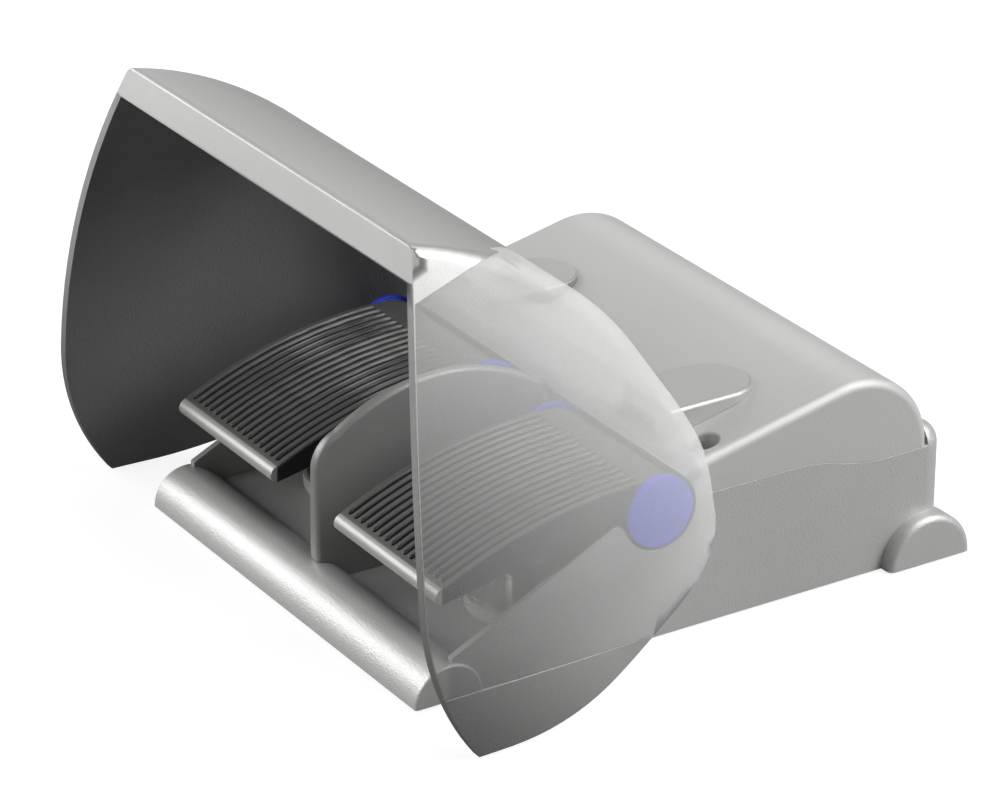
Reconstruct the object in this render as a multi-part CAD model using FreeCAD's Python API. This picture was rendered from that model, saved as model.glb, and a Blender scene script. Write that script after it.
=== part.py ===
"""Twin pedal industrial foot switch with a fixed protective hood.

Millimetres. X runs across the pedals, Y from the front bar to the rear, Z up.
While the pieces are drawn, Y is 0 at the front of the bar. They are exported with
the middle of the whole depth at Y = 0 and the floor at Z = 0.
"""
import FreeCAD, Part
import math
import os

V = FreeCAD.Vector

# Housing
body_half_width = 104.0
wall = 3.0
ground_gap = 0.8
bar_overhang = 1.5
bar_half_length = body_half_width + bar_overhang
bar_depth = 31.0
bar_height = 16.2
bar_rim = 1.2
tray_floor_z = 7.2
ramp_start_y = 17.5
ramp_start_z = 18.0
ramp_slope = 0.48
ramp_peak_radius = 5.0
horn_facet_lean_deg = 3.6
horn_facet_slope = 0.12
horn_facet_setback = 4.0
rear_wall_y = 246.0
cavity_corner_radius = 4.0

# Joint between housing and cover, higher in front than behind
parting_front_z = 58.0
parting_rear_z = 51.0
parting_bend_start_y = 178.0
parting_bend_end_y = 226.0
gasket_depth = 1.5
gasket_width = 1.4

# Pedal pivot
pivot_y = 114.0
pivot_z = 56.0
cap_radius = 15.4
cap_thickness = 2.5
cradle_gap = 1.4
cap_proud = 0.2
cap_rim = 0.7
cap_spigot = 1.5
shaft_radius = 4.0
bush_radius = 6.0
bush_length = 8.5
bush_running_gap = 0.05
bush_stop = 2.0
eye_wall = 4.5
lug_thickness = 6.0
lug_head_radius = 8.5
lug_side_gap = 0.6
wall_relief_front_y = 57.5
wall_relief_gap = 0.6

# Pedal
pedal_inner_x = 22.5
pedal_outer_x = body_half_width + cap_proud
tread_radius = 210.0
tread_top_z = 70.1
tread_crest_y = 107.5
nose_front_y = 11.3
nose_radius = 4.4
underside_sag = 1.6
skirt_thickness = 3.5
tread_plate = 4.0
hub_shell = 3.1
groove_count = 16
groove_side_margin = 2.2
groove_width = 3.3
groove_depth = 1.3
groove_front_y = 19.5
groove_rear_y = 104.5
web_thickness = 8.0
rib_thickness = 2.5
rib_offset = 20.0
pusher_radius = 5.0
pusher_setback = 1.8
heel_gap = 0.35
pedal_travel_deg = 8.0

# Plunger turret under each pedal
plunger_y = 74.0
plunger_radius = 6.15
plunger_top_z = 24.4
plunger_gap = 0.4
turret_radius = 22.2
turret_height = 8.4
turret_plate_radius = 20.4
turret_plate_thickness = 1.8
turret_bore_radius = 9.0
turret_foot_inset = 2.2
turret_waist_z = 5.0
plunger_flange_radius = 8.5
plunger_flange_thickness = 1.6
plunger_skirt_drop = 4.0
plunger_cup_radius = 4.6
plunger_crown = 3.0
spring_wire = 0.9
spring_coils = 6
spring_steps = 14
pocket_floor_z = 2.8
stop_post_width = 6.0
stop_post_y = 92.0
stop_post_top_z = 27.0
turret_screw_front = 15.0
turret_screw_rear = 12.0
turret_screw_reach = 5.0

# Contact block behind the bulkhead
bulkhead_y = 128.0
bulkhead_thickness = 6.0
pin_z = 30.0
pin_radius = 2.5
pin_gap = 0.3
finger_back_y = 121.0
seal_radius = 4.5
seal_flange_radius = 7.0
seal_flange = 1.5
contact_width = 26.0
contact_length = 42.0
contact_height = 30.0
contact_floor_z = 13.0
contact_setback = 4.0
contact_screw_setback = 6.0
contact_screw_offset = 8.0
contact_screw_sink = 4.0
contact_terminal_setback = 8.0
contact_terminal_pitch = 11.0
contact_terminal_radius = 3.2
contact_groove_setback = 18.0
pin_reach = 9.0

# Cover
cover_slope_deg = 12.0
cover_front_top_y = 133.7
cover_front_top_z = 73.2
cover_ridge_radius = 37.0
cover_edge_radius = 4.0
cover_wall = 3.0
cover_screw_inset = 11.5
cover_screw_x = body_half_width - cover_screw_inset
cover_screw_y = 142.5
screw_recess_radius = 5.7
screw_recess_rim = 1.0
screw_recess_floor_z = 58.0
screw_boss_radius = 7.6
screw_boss_drop = 3.9
screw_pillar_radius = 5.0
cover_screw_tip_z = 34.0
hood_screw_front_y = 143.0
hood_screw_rear_y = 163.0
hood_pad_radius = 6.0
hood_pad_drop = 2.5

# Rear feet and columns
foot_proud = 6.3
foot_outer_x = body_half_width + foot_proud
foot_thickness = 14.0
foot_radius = 20.6
foot_rim = 3.0
foot_setback = 1.1
column_inset = 10.0
column_x = body_half_width - column_inset
column_radius = 9.5

# Divider fin
divider_front_y = 16.4
divider_crest_y = 75.0
divider_crest_z = 86.0
divider_crest_radius = 84.0
divider_corner_radius = 14.0
divider_corner_z = 56.0
divider_foot_half = 3.7
divider_top_half = 2.4
divider_rear_gap = 2.0
divider_screw_front_y = 50.0
divider_screw_rear_y = 110.0
divider_screw_reach = 8.0

# Hood
hood_wall = 4.2
hood_nose_y = -20.2
hood_nose_z = 65.0
hood_top_front_y = -2.5
hood_top_front_z = 197.8
hood_floor_z = 1.2
hood_lower_front_radius = 105.0
hood_roof_radius = 178.5
hood_roof_z = 25.2
hood_rear_corner_y = 133.0
hood_rear_corner_z = 53.5
hood_lower_rear_radius = 156.0
hood_level_until_y = 17.0
hood_front_corner_radius = 7.0
hood_rear_corner_radius = 26.0
hood_lip_height = 13.4
hood_lip_depth = 5.0
cheek_low_z = -12.0
cheek_high_z = 212.0
cheek_front_y = -30.0
cheek_back_y = 150.0
cheek_half_widths = [148.7, 149.8, 140.3, 101.2]
cheek_tapers = [0.0, -2.6, 2.0, 56.0]
body_clearance = 0.3
seat_gap = 0.1
tongue_x = 63.8
tongue_half_width = 16.8
tongue_back_y = 181.9
tongue_top_z = 85.0
tongue_edge = 1.6

# Fasteners, pads and gland
m4_radius = 2.0
m4_head_radius = 3.8
m4_head_height = 2.6
screw_play = 0.2
pad_radius = 9.0
pad_recess = 1.2
pad_inset = 16.0
pad_bar_gap = 5.0
screw_run_out = 4.0
overcut = 60.0
gland_z = 27.0
gland_radius = 10.0
gland_flats = 24.0
gland_hex = 4.0
gland_bore_radius = 4.5
gland_nut_length = 13.0
gland_thread_length = 6.5
gland_dome_fall = 3.5
gland_wall = 2.6
locknut_length = 5.0
terminal_ways = 6
terminal_pitch = 9.0
terminal_y = 212.0
terminal_depth = 18.0
terminal_height = 15.0
terminal_base_z = 8.0
terminal_screw_offset = 4.5
earth_offset = 14.0
earth_boss_z = 12.0
earth_boss_radius = 4.5
compartment_floor_z = 4.0

# Derived places
cradle_radius = cap_radius + cradle_gap
hub_radius = tread_top_z - pivot_z
hub_inner_radius = hub_radius - hub_shell
pedal_left_x = pedal_inner_x + cap_thickness
pedal_right_x = pedal_outer_x - cap_thickness
pedal_mid_x = (pedal_inner_x + pedal_outer_x) / 2
groove_pitch = ((pedal_right_x - pedal_left_x - 2 * groove_side_margin - groove_width)
                / (groove_count - 1))
hub_left_x = pedal_left_x + bush_length + bush_stop
hub_right_x = pedal_right_x - bush_length - bush_stop
lug_inner_x = hub_left_x + lug_side_gap
lug_outer_x = hub_right_x - lug_side_gap
ring_top_z = tray_floor_z + turret_height
plate_top_z = ring_top_z + 0.8
plate_bottom_z = plate_top_z - turret_plate_thickness
cavity_front_y = bulkhead_y + bulkhead_thickness
cavity_rear_y = rear_wall_y - wall
contact_front_y = cavity_front_y + contact_setback
hood_roof_y = hood_rear_corner_y - math.sqrt(
    hood_roof_radius ** 2 - (hood_rear_corner_z - hood_roof_z) ** 2)
hood_screw_tip_z = tongue_top_z - 1.4
foot_y = rear_wall_y - foot_setback
strip_half = terminal_ways * terminal_pitch / 2
earth_x = -strip_half - earth_offset
depth_middle_y = (hood_nose_y + foot_y + foot_radius) / 2


# Helpers for plain solids

def box(x0, x1, y0, y1, z0, z1):
    return Part.makeBox(x1 - x0, y1 - y0, z1 - z0, V(x0, y0, z0))


def rod_x(x0, x1, y, z, radius):
    return Part.makeCylinder(radius, x1 - x0, V(x0, y, z), V(1, 0, 0))


def rod_y(x, y0, y1, z, radius):
    return Part.makeCylinder(radius, y1 - y0, V(x, y0, z), V(0, 1, 0))


def rod_z(x, y, z0, z1, radius):
    return Part.makeCylinder(radius, z1 - z0, V(x, y, z0), V(0, 0, 1))


def line(a, b):
    return Part.LineSegment(V(0, *a), V(0, *b)).toShape()


def arc(a, b, c):
    return Part.Arc(V(0, *a), V(0, *b), V(0, *c)).toShape()


def on_circle(centre, radius, degrees):
    angle = math.radians(degrees)
    return (centre[0] + radius * math.cos(angle), centre[1] + radius * math.sin(angle))


def chain(points):
    return [line(a, b) for a, b in zip(points, points[1:])]


def prism(edges, x0, x1):
    face = Part.Face(Part.Wire(edges))
    face.translate(V(x0, 0, 0))
    return face.extrude(V(x1 - x0, 0, 0))


def polygon(points, x0, x1):
    return prism(chain(points + points[:1]), x0, x1)


def mirrored(shape):
    return shape.mirror(V(0, 0, 0), V(1, 0, 0))


def both_sides(shape):
    return [shape, mirrored(shape)]


def whole(half):
    """A symmetric piece from its right half."""
    return half.fuse(mirrored(half)).removeSplitter()


def fuse(shapes):
    return shapes[0].multiFuse(shapes[1:]).removeSplitter()


def rounded(shape, radius, wanted):
    edges = [edge for edge in shape.Edges if wanted(edge)]
    return shape.makeFillet(radius, edges)


def is_along_x(edge):
    size = edge.BoundBox
    return size.XLength > 1 and size.YLength < 0.01 and size.ZLength < 0.01


def hexagon(y0, y1, x, z, flats):
    corner = flats / math.sqrt(3)
    points = []
    for step in range(7):
        angle = math.radians(60 * step)
        points.append(V(x + corner * math.cos(angle), y0, z + corner * math.sin(angle)))
    return Part.Face(Part.makePolygon(points)).extrude(V(0, y1 - y0, 0))


def cap_screw(x, y, head_bottom_z, tip_z):
    """Hexagon socket screw with its head down at head_bottom_z and its tip at tip_z."""
    up = 1 if tip_z > head_bottom_z else -1
    axis = V(0, 0, up)
    head = Part.makeCylinder(m4_head_radius, m4_head_height, V(x, y, head_bottom_z), axis)
    shank = Part.makeCylinder(m4_radius, abs(tip_z - head_bottom_z), V(x, y, head_bottom_z), axis)
    socket = Part.makeCylinder(1.6, 1.4, V(x, y, head_bottom_z), axis)
    return head.fuse(shank).cut(socket)


# Housing

def parting_edges(y0, y1, drop=0.0):
    """Joint line in the side view, from y0 in front to y1 behind."""
    bend = Part.BezierCurve()
    middle = (parting_bend_start_y + parting_bend_end_y) / 2
    front = parting_front_z - drop
    rear = parting_rear_z - drop
    bend.setPoles([V(0, parting_bend_start_y, front), V(0, middle, front),
                   V(0, middle, rear), V(0, parting_bend_end_y, rear)])
    return [line((y0, front), (parting_bend_start_y, front)), bend.toShape(),
            line((parting_bend_end_y, rear), (y1, rear))]


def cradle_y(z, radius=cradle_radius):
    """Rear of the cradle circle at height z."""
    return pivot_y + math.sqrt(radius ** 2 - (z - pivot_z) ** 2)


def housing_block():
    """Side walls, bulkhead and rear body before they are hollowed."""
    horn = (pivot_y - cradle_radius, pivot_z)
    horn_z = ramp_start_z + ramp_slope * (horn[0] - ramp_start_y)
    horn = (pivot_y - math.sqrt(cradle_radius ** 2 - (horn_z - pivot_z) ** 2), horn_z)
    cradle_end = (cradle_y(parting_front_z), parting_front_z)
    cradle = arc(horn, (pivot_y, pivot_z - cradle_radius), cradle_end)
    edges = chain([(rear_wall_y, parting_rear_z), (rear_wall_y, ground_gap), (ramp_start_y, ground_gap),
                   (ramp_start_y, ramp_start_z), horn])
    edges.append(cradle)
    edges += parting_edges(cradle_end[0], rear_wall_y)
    block = prism(edges, -body_half_width, body_half_width)

    def is_horn(edge):
        return is_along_x(edge) and abs(edge.BoundBox.YMin - horn[0]) < 0.01 \
            and abs(edge.BoundBox.ZMin - horn[1]) < 0.01

    return rounded(block, ramp_peak_radius, is_horn)


def horn_facet():
    """Outer facet of the right side wall, which leans in from a crease below the cradle."""
    rear_y = pivot_y - horn_facet_setback
    rear_z = pivot_z - math.sqrt(cradle_radius ** 2 - horn_facet_setback ** 2)
    front_y = ((rear_z - horn_facet_slope * rear_y - ramp_start_z + ramp_slope * ramp_start_y)
               / (ramp_slope - horn_facet_slope))
    front = V(body_half_width, front_y, ramp_start_z + ramp_slope * (front_y - ramp_start_y))
    rear = V(body_half_width, rear_y, rear_z)
    lean = math.radians(horn_facet_lean_deg)
    along = (rear - front).normalize()
    up = V(-math.sin(lean), -along.z * math.cos(lean), along.y * math.cos(lean))
    rise = up * (2 * cradle_radius)
    face = Part.Face(Part.makePolygon([front, rear, rear + rise, front + rise, front]))
    return face.extrude(V(wall, 0, 0))


def front_bar():
    middle = bar_depth / 2
    bar = prism([arc((0, ground_gap), (middle, bar_height), (bar_depth, ground_gap)),
                 line((bar_depth, ground_gap), (0, ground_gap))], -bar_half_length, bar_half_length)

    def is_rim(edge):
        return edge.BoundBox.XLength < 0.01 and edge.BoundBox.ZLength > 1

    return rounded(bar, bar_rim, is_rim)


def rear_foot():
    front = foot_y - foot_radius
    back = foot_y + foot_radius
    foot = prism([arc((front, ground_gap), (foot_y, ground_gap + foot_radius), (back, ground_gap)),
                  line((back, ground_gap), (front, ground_gap))],
                 foot_outer_x - foot_thickness, foot_outer_x)

    def is_rim(edge):
        return edge.BoundBox.XLength < 0.01 and edge.BoundBox.ZLength > 1

    return rounded(foot, foot_rim, is_rim)


def rear_column():
    dome_z = parting_rear_z - 1.5
    column = rod_z(column_x, rear_wall_y, ground_gap, dome_z, column_radius)
    dome = Part.makeSphere(column_radius, V(column_x, rear_wall_y, dome_z))
    cover_side = box(0, body_half_width, rear_wall_y - 20, rear_wall_y + body_clearance,
                     parting_rear_z, parting_rear_z + 20)
    return column.fuse(dome).cut(cover_side)


def bearing_lug(x0):
    head_left = pivot_y - lug_head_radius
    head_right = pivot_y + lug_head_radius
    plate = polygon([(head_left, tray_floor_z - 1), (bulkhead_y + 1, tray_floor_z - 1),
                     (bulkhead_y + 1, pivot_z - cradle_radius), (head_right, pivot_z),
                     (head_left, pivot_z)], x0, x0 + lug_thickness)
    head = rod_x(x0, x0 + lug_thickness, pivot_y, pivot_z, lug_head_radius)
    bore = rod_x(x0 - 1, x0 + lug_thickness + 1, pivot_y, pivot_z, shaft_radius)
    return plate.fuse(head).cut(bore)


def stop_post():
    half = stop_post_width / 2
    post = box(pedal_mid_x - half, pedal_mid_x + half, stop_post_y - half, stop_post_y + half,
               tray_floor_z - 1, stop_post_top_z)

    def is_top(edge):
        return edge.BoundBox.ZMin > stop_post_top_z - 0.01

    return rounded(post, 1.0, is_top)


def rim_frame(inset, depth):
    """Step along the inner half of the housing rim, where the gasket lies."""
    outer_y0 = cavity_front_y - gasket_width + inset
    outer_y1 = cavity_rear_y + gasket_width - inset
    half = body_half_width - wall + gasket_width - inset
    top = parting_edges(outer_y0, outer_y1)
    low = parting_rear_z - 10
    sides = chain([(outer_y1, parting_rear_z), (outer_y1, low), (outer_y0, low),
                   (outer_y0, parting_front_z)])
    strip = prism(top + sides, -half, half)
    below = prism(parting_edges(outer_y0 - 5, outer_y1 + 5, depth)
                  + chain([(outer_y1 + 5, parting_rear_z - depth), (outer_y1 + 5, low - 5),
                           (outer_y0 - 5, low - 5), (outer_y0 - 5, parting_front_z - depth)]),
                  -half - 5, half + 5)
    hole_half = body_half_width - wall
    hole = box(-hole_half, hole_half, cavity_front_y, cavity_rear_y, low - 20, parting_front_z + 20)
    return strip.cut(below).cut(hole)


def pad_places():
    front_x = bar_half_length - pad_inset
    rear_x = body_half_width - pad_inset
    front_y = bar_depth + pad_radius + pad_bar_gap
    return [(front_x, front_y), (-front_x, front_y),
            (rear_x, rear_wall_y - pad_inset), (-rear_x, rear_wall_y - pad_inset)]


def turret_screw_places():
    return [(pedal_mid_x, plunger_y - turret_screw_front),
            (pedal_mid_x, plunger_y + turret_screw_rear)]


def divider_screw_places():
    return [(0, divider_screw_front_y), (0, divider_screw_rear_y)]


def hood_screw_places():
    return [(x, y) for x in (tongue_x, -tongue_x) for y in (hood_screw_front_y, hood_screw_rear_y)]


def contact_screw_places():
    """Beside the bore for the pin, over the front of the contact block."""
    y = contact_front_y + contact_screw_setback
    return [(pedal_mid_x - contact_screw_offset, y), (pedal_mid_x + contact_screw_offset, y)]


def base_housing():
    tray = box(-body_half_width + wall, body_half_width - wall, -5, bulkhead_y,
               tray_floor_z, parting_front_z + overcut)
    body = housing_block().cut(tray)
    cavity = box(-body_half_width + wall, body_half_width - wall, cavity_front_y, cavity_rear_y,
                 compartment_floor_z, parting_front_z + overcut)
    cavity = rounded(cavity, cavity_corner_radius, lambda edge: edge.BoundBox.ZLength > 20)
    body = body.cut(cavity)
    added = [front_bar()]
    for foot in both_sides(rear_foot()):
        added.append(foot)
    for column in both_sides(rear_column()):
        added.append(column.cut(cavity))
    for x0 in (lug_inner_x, lug_outer_x - lug_thickness):
        added += both_sides(bearing_lug(x0))
    added += both_sides(stop_post())
    pillar = rod_z(cover_screw_x, cover_screw_y, compartment_floor_z - 1,
                   screw_recess_floor_z - screw_boss_drop - seat_gap, screw_pillar_radius)
    added += both_sides(pillar)
    seat = box(pedal_mid_x - contact_width / 2, pedal_mid_x + contact_width / 2,
               contact_front_y, contact_front_y + contact_length,
               compartment_floor_z - 1, contact_floor_z)
    added += both_sides(seat)
    added.append(box(-strip_half, strip_half, terminal_y - terminal_depth / 2,
                     terminal_y + terminal_depth / 2, compartment_floor_z - 1, terminal_base_z))
    added.append(rod_z(earth_x, terminal_y, compartment_floor_z - 1, earth_boss_z, earth_boss_radius))
    body = fuse([body] + added)
    cuts = [rim_frame(0, gasket_depth)]
    cuts += both_sides(box(body_half_width - wall - 1, pedal_right_x + wall_relief_gap,
                           wall_relief_front_y, pivot_y, pivot_z - cap_radius, parting_front_z))
    cuts += both_sides(horn_facet())
    cuts += both_sides(rod_z(pedal_mid_x, plunger_y, pocket_floor_z, tray_floor_z + 1,
                             turret_bore_radius))
    cuts += both_sides(rod_y(pedal_mid_x, bulkhead_y - 1, cavity_front_y + 1, pin_z, seal_radius))
    for x, y in turret_screw_places() + divider_screw_places():
        cuts += both_sides(screw_hole_from_below(x, y))
    for x, y in pad_places():
        cuts.append(rod_z(x, y, ground_gap - 1, ground_gap + pad_recess, pad_radius))
    cuts += both_sides(rod_z(cover_screw_x, cover_screw_y, cover_screw_tip_z - screw_run_out,
                             screw_recess_floor_z, m4_radius + 0.02))
    for x, y in contact_screw_places():
        cuts += both_sides(rod_z(x, y, compartment_floor_z, contact_floor_z + 1, m4_radius + 0.02))
    cuts.append(rod_y(0, rear_wall_y - wall - 1, rear_wall_y + 1, gland_z, gland_radius + 0.1))
    cuts.append(rod_z(earth_x, terminal_y, compartment_floor_z + 1, earth_boss_z + 1,
                      m4_radius + 0.02))
    for cut in cuts:
        body = body.cut(cut)
    return body


def screw_hole_from_below(x, y):
    """Clearance hole with a counterbore for a screw that comes from the underside."""
    shank = rod_z(x, y, ground_gap - 1, tray_floor_z + 1, m4_radius + screw_play)
    counterbore = rod_z(x, y, ground_gap - 1, ground_gap + m4_head_height + 0.4,
                        m4_head_radius + screw_play)
    return shank.fuse(counterbore)


def cover_gasket():
    return rim_frame(0.05, gasket_depth - 0.1)


def rubber_pads():
    pads = []
    for x, y in pad_places():
        pads.append(rod_z(x, y, 0, ground_gap + pad_recess, pad_radius - 0.1))
    return pads


# Cover

def cover_slope_z(y, inset=0.0):
    slope = math.radians(cover_slope_deg)
    return cover_front_top_z + math.tan(slope) * (y - cover_front_top_y) - inset / math.cos(slope)


def cover_profile(inset, low_z=None):
    """Side view of the cover; inset moves every wall inwards."""
    slope = math.radians(cover_slope_deg)
    ridge_y = rear_wall_y - cover_ridge_radius
    centre_z = cover_slope_z(ridge_y) - cover_ridge_radius / math.cos(slope)
    centre = (ridge_y, centre_z)
    radius = cover_ridge_radius - inset
    ridge_start = on_circle(centre, radius, 90 + cover_slope_deg)
    ridge_middle = on_circle(centre, radius, 50)
    ridge_end = on_circle(centre, radius, 0)
    front_radius = cradle_radius + inset
    front_low = (cradle_y(parting_front_z, front_radius), parting_front_z)
    front_high = on_circle((pivot_y, pivot_z), front_radius, 42)
    front_middle = on_circle((pivot_y, pivot_z), front_radius, 25)
    slope_start = (cover_front_top_y, cover_slope_z(cover_front_top_y, inset))
    bulge = 0.9
    round_middle = ((front_high[0] + slope_start[0]) / 2 - bulge,
                    (front_high[1] + slope_start[1]) / 2 + bulge)
    edges = [arc(front_low, front_middle, front_high), arc(front_high, round_middle, slope_start),
             line(slope_start, ridge_start), arc(ridge_start, ridge_middle, ridge_end)]
    if low_z is None:
        if abs(ridge_end[1] - parting_rear_z) > 0.01:
            edges.append(line(ridge_end, (ridge_end[0], parting_rear_z)))
        edges += parting_edges(front_low[0], rear_wall_y)
    else:
        edges += chain([ridge_end, (ridge_end[0], low_z), (front_low[0], low_z), front_low])
    return edges


def cover_block():
    half = prism(cover_profile(0), 0, body_half_width)

    def is_top_edge(edge):
        size = edge.BoundBox
        on_side = size.XLength < 0.01 and size.XMin > 1
        return on_side and size.ZMax > parting_front_z + 12.5

    return whole(rounded(half, cover_edge_radius, is_top_edge))


def is_recess_rim(edge):
    size = edge.BoundBox
    at_x = abs(abs(size.Center.x) - cover_screw_x) < 0.1
    return at_x and size.ZMin > screw_recess_floor_z + 5 and size.XLength < 2 * screw_recess_radius + 0.1


def top_cover():
    block = cover_block()
    inner_half = body_half_width - cover_wall
    cavity = prism(cover_profile(cover_wall, parting_rear_z - cover_wall), -inner_half, inner_half)
    shell = block.cut(cavity)
    added = []
    for boss in both_sides(rod_z(cover_screw_x, cover_screw_y, screw_recess_floor_z - screw_boss_drop,
                                 cover_slope_z(cover_screw_y) - 1, screw_boss_radius)):
        added.append(boss)
    for x, y in hood_screw_places():
        pad = rod_z(x, y, hood_seat_z(y), cover_slope_z(y) - 1, hood_pad_radius)
        added.append(pad)
    shell = fuse([shell] + added)
    for recess in both_sides(rod_z(cover_screw_x, cover_screw_y, screw_recess_floor_z,
                                   cover_slope_z(cover_screw_y) + 5, screw_recess_radius)):
        shell = shell.cut(recess)
    shell = rounded(shell, screw_recess_rim, is_recess_rim)
    for hole in both_sides(rod_z(cover_screw_x, cover_screw_y, screw_recess_floor_z - 5,
                                 screw_recess_floor_z + 1, m4_radius + screw_play)):
        shell = shell.cut(hole)
    for x, y in hood_screw_places():
        shell = shell.cut(rod_z(x, y, hood_seat_z(y) - 1, cover_slope_z(y) + 3,
                                m4_radius + screw_play))
    return shell


def hood_seat_z(y):
    """Underside of the pad inside the cover that a hood screw presses on."""
    return cover_slope_z(y, cover_wall) - hood_pad_drop


def cover_screws():
    screw = cap_screw(cover_screw_x, cover_screw_y, screw_recess_floor_z + m4_head_height + seat_gap,
                      cover_screw_tip_z)
    return both_sides(screw)


def hood_screws():
    screws = []
    for x, y in hood_screw_places():
        seat = hood_seat_z(y) - m4_head_height - seat_gap
        screws.append(cap_screw(x, y, seat, hood_screw_tip_z - 0.4))
    return screws


# Divider

def divider_fin():
    centre = (divider_crest_y, divider_crest_z - divider_crest_radius)
    back_y = cradle_y(cover_front_top_z - 6) - divider_rear_gap
    back_z = centre[1] + math.sqrt(divider_crest_radius ** 2 - (back_y - centre[0]) ** 2)
    front = (divider_front_y, divider_corner_z)
    corner_end_y = divider_front_y + divider_corner_radius * 0.75
    corner_end = (corner_end_y, centre[1] + math.sqrt(
        divider_crest_radius ** 2 - (corner_end_y - centre[0]) ** 2))
    corner_middle = (divider_front_y + 2.6, (front[1] + corner_end[1]) / 2 + 1.2)
    back_foot = bulkhead_y - body_clearance
    edges = [line((divider_front_y, tray_floor_z), front), arc(front, corner_middle, corner_end),
             arc(corner_end, (divider_crest_y, divider_crest_z), (back_y, back_z))]
    edges += chain([(back_y, back_z), (back_y, pivot_z + 8), (back_foot, pivot_z - 16),
                    (back_foot, tray_floor_z), (divider_front_y, tray_floor_z)])
    fin = prism(edges, -divider_foot_half, divider_foot_half)
    for side in (-1, 1):
        fin = fin.cut(taper_block(side))
    fin = rounded(fin, divider_top_half * 0.8, is_fin_rim)
    bar = prism([arc((0, ground_gap), (bar_depth / 2, bar_height + 0.05), (bar_depth, ground_gap)),
                 line((bar_depth, ground_gap), (0, ground_gap))], -50, 50)
    fin = fin.cut(bar)
    for x, y in divider_screw_places():
        fin = fin.cut(rod_z(x, y, tray_floor_z - 1, tray_floor_z + divider_screw_reach + 1,
                            m4_radius + 0.02))
    return fin


def taper_block(side):
    """Wedge that thins the fin from its foot to its crest on one side."""
    top = divider_crest_z + 5
    points = [V(side * divider_foot_half, 0, tray_floor_z), V(side * divider_top_half, 0, top),
              V(side * 20, 0, top), V(side * 20, 0, tray_floor_z),
              V(side * divider_foot_half, 0, tray_floor_z)]
    return Part.Face(Part.makePolygon(points)).extrude(V(0, 200, 0))


def is_fin_rim(edge):
    middle = edge.valueAt((edge.FirstParameter + edge.LastParameter) / 2)
    size = edge.BoundBox
    side = abs(middle.x) > 1.5 and size.XLength < 3
    front = size.YMax < divider_front_y + 0.5 and size.ZLength > 10
    top = size.ZMax > divider_crest_z - 25 and size.YLength > 2 and size.ZMin > pivot_z - 2
    return side and (front or top)


def divider_screws():
    tip_z = tray_floor_z + divider_screw_reach
    return [cap_screw(x, y, ground_gap + 0.3, tip_z) for x, y in divider_screw_places()]


# Pedal

def pedal_profile():
    """Side view of the pedal: tread arc, round nose, underside arc and hub."""
    tread_centre = (tread_crest_y, tread_top_z - tread_radius)
    nose_y = nose_front_y + nose_radius
    reach = tread_radius - nose_radius
    nose_z = tread_centre[1] + math.sqrt(reach ** 2 - (nose_y - tread_centre[0]) ** 2)
    nose = (nose_y, nose_z)
    lean = math.degrees(math.atan2(nose_z - tread_centre[1], nose_y - tread_centre[0]))
    tread_end = on_circle(tread_centre, tread_radius, lean)
    tread_middle = on_circle(tread_centre, tread_radius, (lean + 90) / 2)
    nose_end = on_circle(nose, nose_radius, 290)
    hub_join = on_circle((pivot_y, pivot_z), hub_radius, 175)
    under_middle = ((nose_end[0] + hub_join[0]) / 2 - underside_sag * 0.4,
                    (nose_end[1] + hub_join[1]) / 2 + underside_sag)
    return [line((pivot_y, tread_top_z), (tread_crest_y, tread_top_z)),
            arc((tread_crest_y, tread_top_z), tread_middle, tread_end),
            arc(tread_end, on_circle(nose, nose_radius, 180), nose_end),
            arc(nose_end, under_middle, hub_join),
            arc(hub_join, on_circle((pivot_y, pivot_z), hub_radius, 310), (pivot_y, tread_top_z))]


def tread_z(y, drop=0.0):
    """Height of the tread surface at y, lowered square to it by drop."""
    centre_z = tread_top_z - tread_radius
    return centre_z + math.sqrt((tread_radius - drop) ** 2 - (y - tread_crest_y) ** 2)


def underside_pocket(x0, x1):
    """Hollow below the tread plate, open downwards."""
    front_y = nose_front_y + 2 * nose_radius + 4
    back_y = pivot_y - hub_radius - 3
    middle_y = (front_y + back_y) / 2
    top = arc((front_y, tread_z(front_y, tread_plate)), (middle_y, tread_z(middle_y, tread_plate)),
              (back_y, tread_z(back_y, tread_plate)))
    sides = chain([(back_y, tread_z(back_y, tread_plate)), (back_y, 20), (front_y, 20),
                   (front_y, tread_z(front_y, tread_plate))])
    return prism([top] + sides, x0, x1)


def central_web(x):
    """Web in the middle of the pedal with its pusher, stop heel, shaft eye and finger."""
    x0 = x - web_thickness / 2
    x1 = x + web_thickness / 2
    pusher_y = plunger_y - pusher_setback
    pusher_z = plunger_top_z + plunger_gap + pusher_radius
    travel = math.radians(pedal_travel_deg)
    heel_z = stop_post_top_z + heel_gap + (pivot_y - stop_post_y + 3) * math.sin(travel)
    outline = [arc((pusher_y + pusher_radius, pusher_z), (pusher_y, pusher_z - pusher_radius),
                   (pusher_y - pusher_radius, pusher_z))]
    outline += chain([(pusher_y - pusher_radius, pusher_z),
                      (pusher_y - 9, tread_z(pusher_y - 9, tread_plate / 2)),
                      (pusher_y + 16, tread_z(pusher_y + 16, tread_plate / 2)),
                      (pivot_y, tread_top_z - tread_plate / 2), (pivot_y + 6, pivot_z + 6),
                      (finger_back_y, pivot_z - 6), (finger_back_y, pin_z - 4),
                      (finger_back_y - 8, pin_z - 4), (finger_back_y - 14, pivot_z - 16),
                      (stop_post_y + 6, pivot_z - 16), (stop_post_y + 3, heel_z),
                      (stop_post_y - 3, heel_z), (pusher_y + pusher_radius, pusher_z + 6),
                      (pusher_y + pusher_radius, pusher_z)])
    eye = rod_x(x0, x1, pivot_y, pivot_z, shaft_radius + eye_wall)
    bore = rod_x(x0 - 1, x1 + 1, pivot_y, pivot_z, shaft_radius + 0.3)
    return prism(outline, x0, x1).fuse(eye).cut(bore)


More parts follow.
